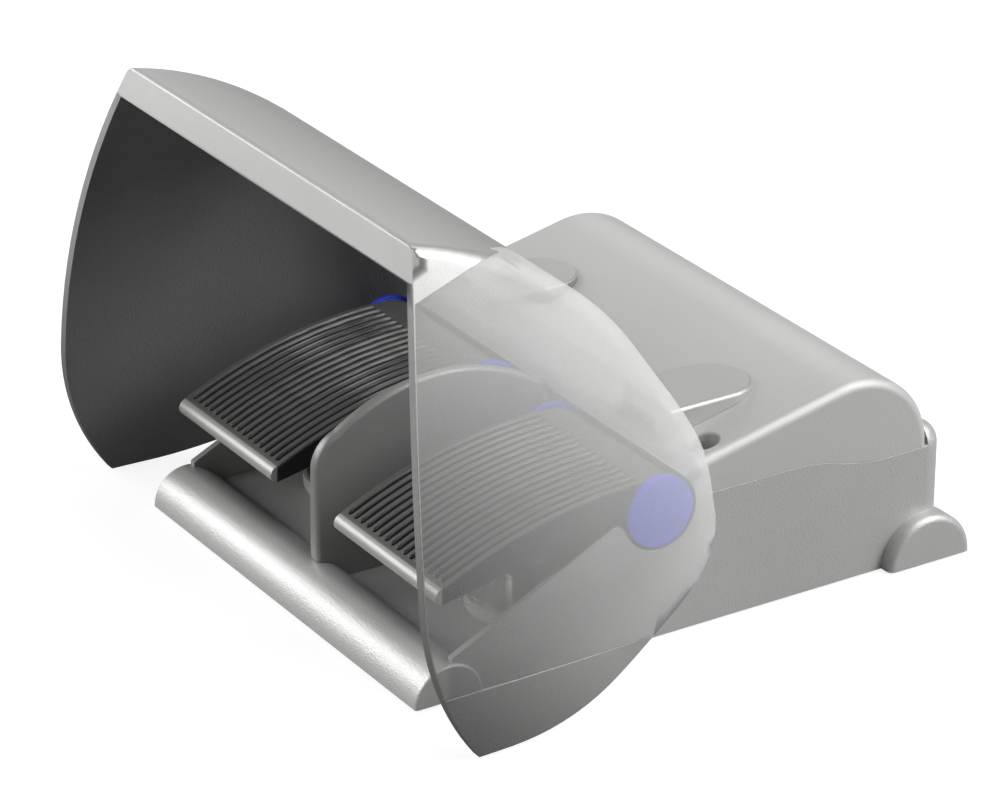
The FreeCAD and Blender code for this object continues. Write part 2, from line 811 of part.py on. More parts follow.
def groove_cutter(x):
    """Curved groove of even depth with round ends."""
    front = groove_front_y
    back = groove_rear_y
    half = groove_width / 2
    middle = (front + back) / 2
    floor = arc((front - half, tread_z(front - half, groove_depth)),
                (middle, tread_z(middle, groove_depth)),
                (back + half, tread_z(back + half, groove_depth)))
    band = prism([floor] + chain([(back + half, tread_z(back + half, groove_depth)),
                                  (back + half, tread_top_z + 10), (front - half, tread_top_z + 10),
                                  (front - half, tread_z(front - half, groove_depth))]),
                 x - half, x + half)
    column = box(x - half, x + half, front, back, 30, tread_top_z + 20)
    for y in (front, back):
        column = column.fuse(rod_z(x, y, 30, tread_top_z + 20, half))
    return band.common(column)


def pedal():
    outer = prism(pedal_profile(), pedal_left_x, pedal_right_x)
    pocket = underside_pocket(pedal_left_x + skirt_thickness, pedal_right_x - skirt_thickness)
    ribs = []
    for x in (pedal_mid_x - rib_offset, pedal_mid_x + rib_offset):
        rib = box(x - rib_thickness / 2, x + rib_thickness / 2, nose_front_y, pivot_y, 20,
                  tread_top_z + 1)
        ribs.append(rib.common(outer).common(pocket))
    body = outer.cut(pocket)
    body = body.cut(rod_x(hub_left_x, hub_right_x, pivot_y, pivot_z, hub_inner_radius))
    body = body.cut(box(hub_left_x, hub_right_x, pivot_y - hub_radius - 3.5, pivot_y + hub_radius + 1,
                        20, pivot_z))
    body = fuse([body] + ribs + [central_web(pedal_mid_x)])
    bores = [rod_x(pedal_left_x - 1, pedal_left_x + bush_length, pivot_y, pivot_z, bush_radius),
             rod_x(pedal_right_x - bush_length, pedal_right_x + 1, pivot_y, pivot_z, bush_radius),
             rod_x(pedal_left_x, hub_left_x + 1, pivot_y, pivot_z, shaft_radius + 0.3),
             rod_x(hub_right_x - 1, pedal_right_x, pivot_y, pivot_z, shaft_radius + 0.3)]
    for bore in bores:
        body = body.cut(bore)
    first = pedal_mid_x - groove_pitch * (groove_count - 1) / 2
    for index in range(groove_count):
        body = body.cut(groove_cutter(first + index * groove_pitch))
    return body


def pedal_caps():
    caps = []
    for outer_x, inward in ((pedal_inner_x, 1), (pedal_outer_x, -1)):
        disc = Part.makeCylinder(cap_radius, cap_thickness, V(outer_x, pivot_y, pivot_z),
                                 V(inward, 0, 0))
        disc = rounded(disc, cap_rim, lambda edge: edge.BoundBox.XLength < 0.01
                       and abs(edge.BoundBox.XMin - outer_x) < 0.01)
        plug = Part.makeCylinder(bush_radius - 0.05, cap_thickness + cap_spigot,
                                 V(outer_x + inward * 1.0, pivot_y, pivot_z), V(inward, 0, 0))
        plug = plug.common(rod_x(pedal_inner_x + 0.5, pedal_outer_x - 0.5, pivot_y, pivot_z, 20))
        caps.append(disc.fuse(plug).removeSplitter())
    return caps


def bush_span(left):
    """Both ends of a bush along X, clear of the cap's spigot."""
    if left:
        return pedal_left_x + 2.6, pedal_left_x + bush_length
    return pedal_right_x - bush_length, pedal_right_x - 2.6


def pivot_bushes():
    bushes = []
    for left in (True, False):
        x0, x1 = bush_span(left)
        ring = rod_x(x0, x1, pivot_y, pivot_z, bush_radius)
        bore = rod_x(x0 - 1, x1 + 1, pivot_y, pivot_z, shaft_radius + bush_running_gap)
        bushes.append(ring.cut(bore))
    return bushes


def pivot_shaft():
    shaft = rod_x(pedal_left_x + 2.8, pedal_right_x - 2.8, pivot_y, pivot_z, shaft_radius)
    return shaft.makeChamfer(0.5, [e for e in shaft.Edges if e.BoundBox.XLength < 0.01])


# Turret and plunger

def spring_turret():
    """Light ring that holds the steel plate and guides the plunger's flange."""
    low_radius = turret_radius - turret_foot_inset
    base = tray_floor_z
    top = ring_top_z
    seat = turret_plate_radius + 0.1
    lip_z = plate_bottom_z
    waist = base + turret_waist_z
    side = Part.Arc(V(low_radius, 0, base), V(turret_radius - 0.5, 0, base + turret_waist_z * 0.44),
                    V(turret_radius, 0, waist)).toShape()
    points = [V(turret_radius, 0, waist), V(turret_radius, 0, top), V(seat, 0, top),
              V(seat, 0, lip_z), V(turret_bore_radius, 0, lip_z), V(turret_bore_radius, 0, base),
              V(low_radius, 0, base)]
    edges = [side]
    for a, b in zip(points, points[1:]):
        edges.append(Part.LineSegment(a, b).toShape())
    ring = Part.Face(Part.Wire(edges)).revolve(V(0, 0, 0), V(0, 0, 1), 360)
    ring.translate(V(pedal_mid_x, plunger_y, 0))
    for x, y in turret_screw_places():
        ring = ring.cut(rod_z(x, y, base - 1, base + turret_screw_reach + 0.5, m4_radius + 0.02))
    return ring.cut(post_notch())


def post_notch():
    """Opening at the back of ring and plate that the housing's stop post passes through."""
    half = stop_post_width / 2 + 0.2
    return box(pedal_mid_x - half, pedal_mid_x + half, stop_post_y - half,
               plunger_y + turret_radius + 1, tray_floor_z - 1, stop_post_top_z)


def turret_plate():
    plate = rod_z(pedal_mid_x, plunger_y, plate_bottom_z, plate_top_z, turret_plate_radius)
    plate = rounded(plate, 0.4, lambda edge: edge.BoundBox.ZMin > plate_top_z - 0.01
                    and edge.BoundBox.ZLength < 0.01)
    bore = rod_z(pedal_mid_x, plunger_y, plate_bottom_z - 1, plate_top_z + 1,
                 plunger_radius + 0.08)
    return plate.cut(bore).cut(post_notch())


def turret_screws():
    tip_z = tray_floor_z + turret_screw_reach
    return [cap_screw(x, y, ground_gap + 0.3, tip_z) for x, y in turret_screw_places()]


def plunger():
    flange_top = plate_bottom_z - 0.1
    flange_bottom = flange_top - plunger_flange_thickness
    bottom = flange_bottom - plunger_skirt_drop
    stem = rod_z(pedal_mid_x, plunger_y, bottom, plunger_top_z, plunger_radius)
    stem = stem.makeChamfer(0.9, [e for e in stem.Edges if e.BoundBox.ZMin > plunger_top_z - 0.01])
    band_z = plunger_top_z - 2.6
    band = rod_z(pedal_mid_x, plunger_y, band_z, band_z + 0.5, plunger_radius + 1)
    band = band.cut(rod_z(pedal_mid_x, plunger_y, band_z - 1, band_z + 2, plunger_radius - 0.35))
    stem = stem.cut(band)
    flange = rod_z(pedal_mid_x, plunger_y, flange_bottom, flange_top, plunger_flange_radius)
    cup = rod_z(pedal_mid_x, plunger_y, bottom - 1, plunger_top_z - plunger_crown,
                plunger_cup_radius)
    return stem.fuse(flange).cut(cup)


def plunger_spring():
    """Compression spring between the pocket in the tray floor and the plunger's crown."""
    half_wire = spring_wire / 2
    low = pocket_floor_z + 0.05 + half_wire
    high = plunger_top_z - plunger_crown - 0.05 - half_wire
    radius = plunger_cup_radius - 0.35 - half_wire
    steps = spring_coils * spring_steps
    points = []
    for step in range(steps + 1):
        angle = math.radians(360 * step / spring_steps)
        points.append(V(radius * math.cos(angle), radius * math.sin(angle),
                        low + (high - low) * step / steps))
    path = Part.Wire(Part.makePolygon(points))
    section = Part.Wire(Part.makePolygon([
        V(radius - half_wire, 0, low - half_wire), V(radius + half_wire, 0, low - half_wire),
        V(radius + half_wire, 0, low + half_wire), V(radius - half_wire, 0, low + half_wire),
        V(radius - half_wire, 0, low - half_wire)]))
    coil = path.makePipeShell([section], True, False, 1)
    coil.translate(V(pedal_mid_x, plunger_y, 0))
    return coil


# Contact block, pin and seal

def contact_block():
    y0 = contact_front_y
    body = box(pedal_mid_x - contact_width / 2, pedal_mid_x + contact_width / 2, y0,
               y0 + contact_length, contact_floor_z, contact_floor_z + contact_height)
    body = rounded(body, 1.5, lambda edge: edge.BoundBox.ZLength > 20)
    top = contact_floor_z + contact_height
    for index in range(2):
        for side in (-1, 1):
            x = pedal_mid_x + side * contact_screw_offset
            y = y0 + contact_length - contact_terminal_setback - index * contact_terminal_pitch
            body = body.cut(rod_z(x, y, top - 6, top + 1, contact_terminal_radius))
            body = body.fuse(rod_z(x, y, top - 7, top - 3, contact_terminal_radius - 0.4))
    groove = box(pedal_mid_x - 1, pedal_mid_x + 1, y0 + contact_groove_setback,
                 y0 + contact_length + 1, top - 5, top + 1)
    body = body.cut(groove)
    body = body.cut(rod_y(pedal_mid_x, y0 - 1, y0 + pin_reach + 5, pin_z, pin_radius + 0.15))
    for x, y in contact_screw_places():
        body = body.cut(rod_z(x, y, contact_floor_z - 1, top + 1, m4_radius + screw_play))
        body = body.cut(rod_z(x, y, top - contact_screw_sink, top + 1, m4_head_radius + screw_play))
    return body


def contact_screws():
    top = contact_floor_z + contact_height
    return [cap_screw(x, y, top - contact_screw_sink + m4_head_height, compartment_floor_z + 3)
            for x, y in contact_screw_places()]


def switch_pin():
    tip_y = finger_back_y + pin_gap
    pin = rod_y(pedal_mid_x, tip_y, contact_front_y + pin_reach, pin_z, pin_radius)
    return rounded(pin, 1.6, lambda edge: edge.BoundBox.YLength < 0.01
                   and edge.BoundBox.YMin < tip_y + 0.01)


def pin_seal():
    seal = rod_y(pedal_mid_x, bulkhead_y - seal_flange, cavity_front_y, pin_z, seal_radius - 0.02)
    flange = rod_y(pedal_mid_x, bulkhead_y - seal_flange, bulkhead_y, pin_z, seal_flange_radius)
    flange = rounded(flange, 0.8, lambda edge: edge.BoundBox.YLength < 0.01
                     and edge.BoundBox.YMin < bulkhead_y - seal_flange + 0.01)
    bore = rod_y(pedal_mid_x, bulkhead_y - 10, cavity_front_y + 1, pin_z, pin_radius + 0.08)
    return seal.fuse(flange).cut(bore)


# Terminals and gland

def terminal_strip():
    low = terminal_base_z
    half_depth = terminal_depth / 2
    strip = box(-strip_half, strip_half, terminal_y - half_depth, terminal_y + half_depth,
                low, low + terminal_height)
    for way in range(terminal_ways):
        x = -strip_half + (way + 0.5) * terminal_pitch
        for side in (-1, 1):
            y = terminal_y + side * terminal_screw_offset
            strip = strip.cut(rod_z(x, y, low + terminal_height - 5, low + terminal_height + 1, 2.6))
            strip = strip.fuse(rod_z(x, y, low + terminal_height - 6, low + terminal_height - 3, 2.3))
            mouth = box(x - 2.2, x + 2.2, terminal_y + side * half_depth - 3,
                        terminal_y + side * half_depth + 3, low + 3, low + 7)
            strip = strip.cut(mouth)
    return strip


def earth_screw():
    low = earth_boss_z + 0.05
    top = low + 1.0
    washer = rod_z(earth_x, terminal_y, low, top, earth_boss_radius - seat_gap)
    washer = washer.cut(rod_z(earth_x, terminal_y, low - 1, top + 1, m4_radius))
    screw = cap_screw(earth_x, terminal_y, top + 0.05 + m4_head_height, compartment_floor_z + 2)
    return screw.fuse(washer)


def gland_body():
    sleeve_end = rear_wall_y + gland_hex + gland_thread_length
    sleeve = rod_y(0, cavity_rear_y - locknut_length - 1, sleeve_end, gland_z, gland_radius - 0.1)
    flange = hexagon(rear_wall_y + 0.05, rear_wall_y + 0.05 + gland_hex, 0, gland_z, gland_flats)
    bore = rod_y(0, cavity_rear_y - 20, rear_wall_y + 40, gland_z, gland_radius - gland_wall)
    return sleeve.fuse(flange).cut(bore)


def gland_locknut():
    nut = hexagon(cavity_rear_y - locknut_length, cavity_rear_y - 0.05, 0, gland_z, gland_flats)
    return nut.cut(rod_y(0, cavity_rear_y - 20, rear_wall_y, gland_z, gland_radius - 0.08))


def gland_dome_nut():
    y0 = rear_wall_y + gland_hex + 0.15
    y1 = y0 + gland_nut_length
    nut = hexagon(y0, y1, 0, gland_z, gland_flats)
    dome = Part.makeCone(gland_flats / 2 + gland_dome_fall, gland_flats / 2 - gland_dome_fall,
                         gland_nut_length,
                         V(0, y0, gland_z), V(0, 1, 0))
    nut = nut.common(dome)
    nut = nut.cut(rod_y(0, y0 - 1, y0 + gland_thread_length, gland_z, gland_radius - 0.05))
    return nut.cut(rod_y(0, y0, y1 + 1, gland_z, gland_bore_radius + 1.5))


def gland_seal():
    y0 = rear_wall_y + 1
    y1 = rear_wall_y + gland_hex + gland_thread_length
    ring = rod_y(0, y0, y1, gland_z, gland_radius - gland_wall - seat_gap)
    return ring.cut(rod_y(0, y0 - 1, y1 + 1, gland_z, gland_bore_radius))


# Hood

def cheek_block(inset):
    """Everything inside the right cheek: its surface is the sum of two curves."""
    surface = Part.BezierSurface()
    surface.increase(3, 3)
    for i, half_width in enumerate(cheek_half_widths):
        z = cheek_low_z + (cheek_high_z - cheek_low_z) * i / 3
        for j, taper in enumerate(cheek_tapers):
            y = cheek_front_y + (cheek_back_y - cheek_front_y) * j / 3
            surface.setPole(i + 1, j + 1, V(half_width - taper - inset, y, z))
    return surface.toShape().extrude(V(-400, 0, 0))


def hood_side_outline():
    """Side view of the hood: front edge, level foot, rising rear edge and round roof."""
    upper_rise = hood_top_front_z - hood_nose_z
    upper_run = hood_top_front_y - hood_nose_y
    upper_radius = (upper_rise ** 2 + upper_run ** 2) / (2 * upper_run)
    top = (hood_top_front_y, hood_top_front_z)
    nose = (hood_nose_y, hood_nose_z)
    middle_z = (hood_top_front_z + hood_nose_z) / 2
    upper_middle = (hood_nose_y + upper_radius
                    - math.sqrt(upper_radius ** 2 - (middle_z - hood_nose_z) ** 2), middle_z)
    lower_centre = (hood_nose_y + hood_lower_front_radius, hood_nose_z)
    lower_angle = math.degrees(math.asin((hood_nose_z - hood_floor_z) / hood_lower_front_radius))
    foot = on_circle(lower_centre, hood_lower_front_radius, 180 + lower_angle)
    lower_middle = on_circle(lower_centre, hood_lower_front_radius, 180 + lower_angle / 2)
    level_end = (hood_level_until_y, hood_floor_z)
    rear = (hood_rear_corner_y, hood_rear_corner_z)
    rise_centre = (hood_level_until_y, hood_floor_z + hood_lower_rear_radius)
    half_angle = math.degrees(math.asin(
        (hood_rear_corner_y - hood_level_until_y) / hood_lower_rear_radius)) / 2
    rise_middle = on_circle(rise_centre, hood_lower_rear_radius, 270 + half_angle)
    roof = (hood_roof_y, hood_roof_z)
    roof_middle = on_circle(roof, hood_roof_radius, 42)
    return [arc(top, upper_middle, nose), arc(nose, lower_middle, foot), line(foot, level_end),
            arc(level_end, rise_middle, rear), arc(rear, roof_middle, top)]


def roof_block(inset):
    """Everything under the roof arc, open to the front and below."""
    radius = hood_roof_radius - inset
    crown = (hood_roof_y, hood_roof_z + radius)
    back = (hood_roof_y + radius, hood_roof_z)
    edges = [arc(crown, on_circle((hood_roof_y, hood_roof_z), radius, 45), back)]
    edges += chain([back, (back[0], -40), (hood_roof_y - 40, -40), (hood_roof_y - 40, crown[1]),
                    crown])
    return prism(edges, 0, 200)


def round_ridge(block, front_radius, rear_radius):
    """Round the long edge between roof and cheek, more at the back than in front."""
    ridge = []
    for edge in block.Edges:
        size = edge.BoundBox
        if size.ZMax > hood_roof_z + 150 and size.YLength > 100 and size.XLength > 3:
            ridge.append(edge)
    return block.makeFillet(front_radius, rear_radius, ridge)


def protective_hood():
    outer = prism(hood_side_outline(), 0, 200).common(cheek_block(0))
    outer = round_ridge(outer, hood_front_corner_radius, hood_rear_corner_radius)
    cavity = roof_block(hood_wall).common(cheek_block(hood_wall))
    cavity = round_ridge(cavity, hood_front_corner_radius - hood_wall / 2,
                         hood_rear_corner_radius - hood_wall)
    lip = box(0, 200, -60, hood_top_front_y + hood_lip_depth,
              hood_top_front_z - hood_lip_height, hood_top_front_z + 60)
    cavity = cavity.cut(lip)
    half = outer.cut(cavity).cut(body_envelope())
    half = half.fuse(hood_tongue().cut(cavity).cut(body_envelope())).removeSplitter()
    for x, y in hood_screw_places():
        half = half.cut(rod_z(x, y, cover_slope_z(y) - 2, hood_screw_tip_z, m4_radius + 0.02))
    return whole(half)


def body_envelope():
    """Housing, cover and hubs with clearance, so that the hood sits round them."""
    half = body_half_width + body_clearance
    cover = prism(cover_profile(-seat_gap, parting_rear_z - 20), -half, half)
    side = box(-half, half, pivot_y - 20, rear_wall_y, -10, parting_front_z + 1)
    hub_half = pedal_outer_x + body_clearance
    hub = rod_x(-hub_half, hub_half, pivot_y, pivot_z, cradle_radius + 0.6)
    return cover.fuse(side).fuse(hub)


def hood_tongue():
    """Flat tongue with a round end that carries the hood on the cover."""
    start_y = pivot_y + 4
    end_y = tongue_back_y - tongue_half_width
    slab = box(tongue_x - tongue_half_width, tongue_x + tongue_half_width, start_y, end_y,
               parting_front_z, tongue_top_z)
    slab = slab.fuse(rod_z(tongue_x, end_y, parting_front_z, tongue_top_z, tongue_half_width))
    slab = slab.removeSplitter()
    return rounded(slab, tongue_edge, lambda edge: edge.BoundBox.ZMin > tongue_top_z - 0.01
                   and edge.BoundBox.YMax > start_y + 1)


# Export

def export(name, solids):
    shapes = solids if isinstance(solids, list) else [solids]
    shape = shapes[0] if len(shapes) == 1 else Part.Compound(shapes)
    shape = shape.copy()
    shape.translate(V(0, -depth_middle_y, 0))
    shape.exportStep("parts/" + name + ".step")


def export_pair(name, solids):
    """A piece of the right side and its mirror image on the left."""
    shapes = solids if isinstance(solids, list) else [solids]
    export("right_" + name, shapes)
    export("left_" + name, [mirrored(shape) for shape in shapes])


os.makedirs("parts", exist_ok=True)
export("base_housing", base_housing())
export("top_cover", top_cover())
export("cover_gasket", cover_gasket())
export("cover_screws", cover_screws())
export("protective_hood", protective_hood())
export("hood_screws", hood_screws())
export("divider_fin", divider_fin())
export("divider_screws", divider_screws())
export("rubber_pads", rubber_pads())
export("gland_body", gland_body())
export("gland_locknut", gland_locknut())
export("gland_dome_nut", gland_dome_nut())
export("gland_seal", gland_seal())
export("terminal_strip", terminal_strip())
export("earth_screw", earth_screw())
export_pair("pedal", pedal())
export_pair("pedal_caps", pedal_caps())
export_pair("pivot_shaft", pivot_shaft())
export_pair("pivot_bushes", pivot_bushes())
export_pair("spring_turret", spring_turret())
export_pair("turret_plate", turret_plate())
export_pair("turret_screws", turret_screws())
export_pair("plunger", plunger())
export_pair("plunger_spring", plunger_spring())
export_pair("contact_block", contact_block())
export_pair("contact_screws", contact_screws())
export_pair("switch_pin", switch_pin())
export_pair("pin_seal", pin_seal())
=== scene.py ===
"""Looks of the hooded twin pedal foot switch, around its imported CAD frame. Metres."""
import math

import bmesh
import bpy
from mathutils import Matrix, Vector


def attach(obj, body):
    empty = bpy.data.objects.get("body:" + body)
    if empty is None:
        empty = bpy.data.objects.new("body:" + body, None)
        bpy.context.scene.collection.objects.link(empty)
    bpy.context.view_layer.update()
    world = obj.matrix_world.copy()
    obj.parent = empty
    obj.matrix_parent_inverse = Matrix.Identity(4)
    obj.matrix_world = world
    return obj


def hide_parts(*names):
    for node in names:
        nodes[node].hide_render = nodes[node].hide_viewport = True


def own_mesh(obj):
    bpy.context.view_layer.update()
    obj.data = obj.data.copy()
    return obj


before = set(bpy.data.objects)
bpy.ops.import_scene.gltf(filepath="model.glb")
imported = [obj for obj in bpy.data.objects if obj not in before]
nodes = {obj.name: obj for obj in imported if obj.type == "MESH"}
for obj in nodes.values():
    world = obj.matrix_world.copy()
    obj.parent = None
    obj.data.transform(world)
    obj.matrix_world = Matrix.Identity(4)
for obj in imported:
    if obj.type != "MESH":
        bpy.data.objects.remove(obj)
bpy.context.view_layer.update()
mm = 0.001
root_body = "housing"

# Places in the source's millimetres, whose Y starts at the front of the bar
middle_y = 122.65
bar_end_y = 17.0
tread_radius = 210.0
tread_top_z = 70.1
tread_crest_y = 107.5
groove_depth = 1.3
groove_front_y = 16.0
groove_half = 1.6
groove_pitch = 4.6
groove_count = 16
groove_joined_y = 23.0
above_tread = 3.0
nose_centre = (14.73, 44.59)
nose_radius = 3.3
below_nose = [(45.0, 47.0), (45.0, 30.0), (5.0, 30.0), (5.0, 46.2)]
pedal_middle_x = 63.35
pedal_half = 38.35

# Hood
nose = (-20.2, 65.0)
top_front = (-2.5, 197.8)
floor_z = 1.2
lower_front_radius = 105.0
lip_height = 13.4
cheek_low_z = -12.0
cheek_high_z = 212.0
cheek_front_y = -30.0
cheek_back_y = 150.0
cheek_half_widths = [148.7, 149.8, 140.3, 101.2]
cheek_tapers = [0.0, -2.6, 2.0, 56.0]


def place(x, y, z):
    """A point of the source, in millimetres, as a point of the frame."""
    return Vector((x * mm, (y - middle_y) * mm, z * mm))


# Shader nodes

def new_material(name):
    material = bpy.data.materials.new(name)
    material.use_nodes = True
    tree = material.node_tree
    shader = tree.nodes["Principled BSDF"]
    return material, tree, shader


def object_coordinates(tree):
    return tree.nodes.new("ShaderNodeTexCoord").outputs["Object"]


def noise(tree, vector, scale, detail=3.0, roughness=0.5):
    node = tree.nodes.new("ShaderNodeTexNoise")
    node.inputs["Scale"].default_value = scale
    node.inputs["Detail"].default_value = detail
    node.inputs["Roughness"].default_value = roughness
    tree.links.new(vector, node.inputs["Vector"])
    return node.outputs["Fac"]


def cells(tree, vector, scale):
    node = tree.nodes.new("ShaderNodeTexVoronoi")
    node.feature = "SMOOTH_F1"
    node.inputs["Scale"].default_value = scale
    tree.links.new(vector, node.inputs["Vector"])
    return node.outputs["Distance"]


def math_node(tree, operation, first, second=None, clamp=False):
    node = tree.nodes.new("ShaderNodeMath")
    node.operation = operation
    node.use_clamp = clamp
    for socket, value in zip(node.inputs, (first, second)):
        if value is None:
            continue
        if isinstance(value, (int, float)):
            socket.default_value = value
        else:
            tree.links.new(value, socket)
    return node.outputs["Value"]


def ramp(tree, factor, low, high, low_color, high_color):
    node = tree.nodes.new("ShaderNodeMapRange")
    node.inputs["From Min"].default_value = low
    node.inputs["From Max"].default_value = high
    tree.links.new(factor, node.inputs["Value"])
    mix = tree.nodes.new("ShaderNodeMix")
    mix.data_type = "RGBA"
    tree.links.new(node.outputs["Result"], mix.inputs["Factor"])
    mix.inputs["A"].default_value = (*low_color, 1)
    mix.inputs["B"].default_value = (*high_color, 1)
    return mix.outputs["Result"]


def mixed(tree, factor, first, second):
    mix = tree.nodes.new("ShaderNodeMix")
    mix.data_type = "RGBA"
    tree.links.new(factor, mix.inputs["Factor"])
    for socket, value in ((mix.inputs["A"], first), (mix.inputs["B"], second)):
        if isinstance(value, tuple):
            socket.default_value = (*value, 1)
        else:
            tree.links.new(value, socket)
    return mix.outputs["Result"]


def bump(tree, shader, height, strength, distance, edge=0.0004):
    """Relief on the surface, with the sharp edges softened by a radius of edge."""
    soft = tree.nodes.new("ShaderNodeBevel")
    soft.samples = 4
    soft.inputs["Radius"].default_value = edge
    node = tree.nodes.new("ShaderNodeBump")
    tree.links.new(soft.outputs["Normal"], node.inputs["Normal"])
    node.inputs["Strength"].default_value = strength
    node.inputs["Distance"].default_value = distance
    tree.links.new(height, node.inputs["Height"])
    tree.links.new(node.outputs["Normal"], shader.inputs["Normal"])


def grey(value):
    return (value, value, value * 0.985)


def coated(name, color, grain=0.5, roughness=0.45, grain_scale=1100.0, alpha=1.0, metallic=0.0,
           mottle=0.04, edge=0.0005):
    """Powder coat with fine leather-like grain and a faint cloudiness."""
    material, tree, shader = new_material(name)
    where = object_coordinates(tree)
    cloud = noise(tree, where, 14.0, 2.0)
    speck = noise(tree, where, grain_scale * 1.7, 2.0)
    blend = math_node(tree, "ADD", math_node(tree, "MULTIPLY", cloud, 0.6),
                      math_node(tree, "MULTIPLY", speck, 0.4))
    darker = tuple(channel * (1 - mottle) for channel in color)
    lighter = tuple(min(1.0, channel * (1 + mottle)) for channel in color)
    tree.links.new(ramp(tree, blend, 0.35, 0.65, darker, lighter), shader.inputs["Base Color"])
    leather = cells(tree, where, grain_scale)
    fine = noise(tree, where, grain_scale * 2.2, 3.0)
    height = math_node(tree, "ADD", leather, math_node(tree, "MULTIPLY", fine, 0.35))
    bump(tree, shader, height, grain, 0.0003, edge)
    shader.inputs["Roughness"].default_value = roughness
    shader.inputs["Metallic"].default_value = metallic
    shader.inputs["Alpha"].default_value = alpha
    return material


def moulded(name, color, roughness=0.4, grain=0.15, grain_scale=1800.0, mottle=0.05):
    return coated(name, color, grain, roughness, grain_scale, mottle=mottle)


def turned_metal(name, color, roughness=0.28, axis_scale=(40.0, 40.0, 2600.0)):
    """Machined steel with faint tool marks along one direction."""
    material, tree, shader = new_material(name)
    mapping = tree.nodes.new("ShaderNodeMapping")
    mapping.inputs["Scale"].default_value = axis_scale
    tree.links.new(object_coordinates(tree), mapping.inputs["Vector"])
    lines = noise(tree, mapping.outputs["Vector"], 1.0, 4.0)
    tree.links.new(ramp(tree, lines, 0.3, 0.7, tuple(c * 0.86 for c in color), color),
                   shader.inputs["Base Color"])
    bump(tree, shader, lines, 0.12, 0.00008)
    shader.inputs["Metallic"].default_value = 1.0
    shader.inputs["Roughness"].default_value = roughness
    return material


def painted_light_coat(name, low_color, high_color, low, high, **finish):
    """Coat with painted light and shade: darker towards the low front corner and lighter up and
    back, by Y and Z added up in millimetres.
    """
    material = coated(name, high_color, **finish)
    tree = material.node_tree
    split = tree.nodes.new("ShaderNodeSeparateXYZ")
    tree.links.new(object_coordinates(tree), split.inputs["Vector"])
    reach = math_node(tree, "ADD", split.outputs["Y"], split.outputs["Z"])
    speck = noise(tree, object_coordinates(tree), 1600.0, 2.0)
    reach = math_node(tree, "ADD", reach, math_node(tree, "MULTIPLY", speck, 0.03))
    start = (15 - middle_y) * mm
    tree.links.new(ramp(tree, reach, start + low * mm, start + high * mm, low_color, high_color),
                   tree.nodes["Principled BSDF"].inputs["Base Color"])
    return material


def edge_highlight_share(tree, radius, gain):
    """Share of painted highlight on edges: how far the softened normal leans from the surface's
    own.
    """
    soft = tree.nodes.new("ShaderNodeBevel")
    soft.samples = 6
    soft.inputs["Radius"].default_value = radius
    product = tree.nodes.new("ShaderNodeVectorMath")
    product.operation = "DOT_PRODUCT"
    tree.links.new(soft.outputs["Normal"], product.inputs[0])
    tree.links.new(tree.nodes.new("ShaderNodeNewGeometry").outputs["Normal"], product.inputs[1])
    lean = math_node(tree, "SUBTRACT", 1.0, product.outputs["Value"])
    return math_node(tree, "MULTIPLY", lean, gain, clamp=True)


def pedal_paint(name):
    """Dark satin tread with painted light: painted shade in the groove floors, a painted highlight
    on the nose and painted highlights on the rib edges.
    """
    material, tree, shader = new_material(name)
    where = object_coordinates(tree)
    split = tree.nodes.new("ShaderNodeSeparateXYZ")
    tree.links.new(where, split.inputs["Vector"])
    centre = place(0, tread_crest_y, tread_top_z - tread_radius)
    dy = math_node(tree, "SUBTRACT", split.outputs["Y"], centre.y)
    dz = math_node(tree, "SUBTRACT", split.outputs["Z"], centre.z)
    squares = math_node(tree, "ADD", math_node(tree, "MULTIPLY", dy, dy),
                        math_node(tree, "MULTIPLY", dz, dz))
    radius = math_node(tree, "SQRT", squares)
    # Painted shade: groove floors darker than the rib tops.
    tread = ramp(tree, radius, (tread_radius - 1.25) * mm, (tread_radius - 1.0) * mm,
                 (0.024, 0.024, 0.027), (0.14, 0.14, 0.134))
    # Painted highlight: the nose paler than the tread.
    nose_end = (groove_front_y - 1.2 - middle_y) * mm
    nose_highlight = math_node(tree, "MULTIPLY", math_node(tree, "SUBTRACT", nose_end, split.outputs["Y"]),
                        1200.0, clamp=True)
    painted = mixed(tree, nose_highlight, tread, (0.52, 0.52, 0.5))
    # Painted highlight along the rib and tread edges.
    painted = mixed(tree, edge_highlight_share(tree, 0.0005, 3.0), painted, (0.46, 0.46, 0.44))
    tree.links.new(painted, shader.inputs["Base Color"])
    grain = noise(tree, where, 2600.0, 3.0)
    bump(tree, shader, grain, 0.25, 0.0001, 0.0005)
    shader.inputs["Roughness"].default_value = 0.38
    shader.inputs["Metallic"].default_value = 0.3
    return material


def housing_coat(name):
    """Powder coat with painted light: paler on the front bar, standing in for light from the floor
    below.
    """
    material = coated(name, grey(0.52), grain=0.35, roughness=0.42, grain_scale=1200.0,
                      metallic=0.35)
    tree = material.node_tree
    split = tree.nodes.new("ShaderNodeSeparateXYZ")
    tree.links.new(object_coordinates(tree), split.inputs["Vector"])
    before_end = math_node(tree, "SUBTRACT", (bar_end_y - middle_y) * mm, split.outputs["Y"])
    bar_painted_light = math_node(tree, "MULTIPLY", before_end, 250.0, clamp=True)
    base = tree.nodes["Principled BSDF"].inputs["Base Color"]
    plain_coat = base.links[0].from_socket
    # Painted light: the front bar paler than the rest of the housing.
    tree.links.new(mixed(tree, bar_painted_light, plain_coat, grey(0.74)), base)
    return material


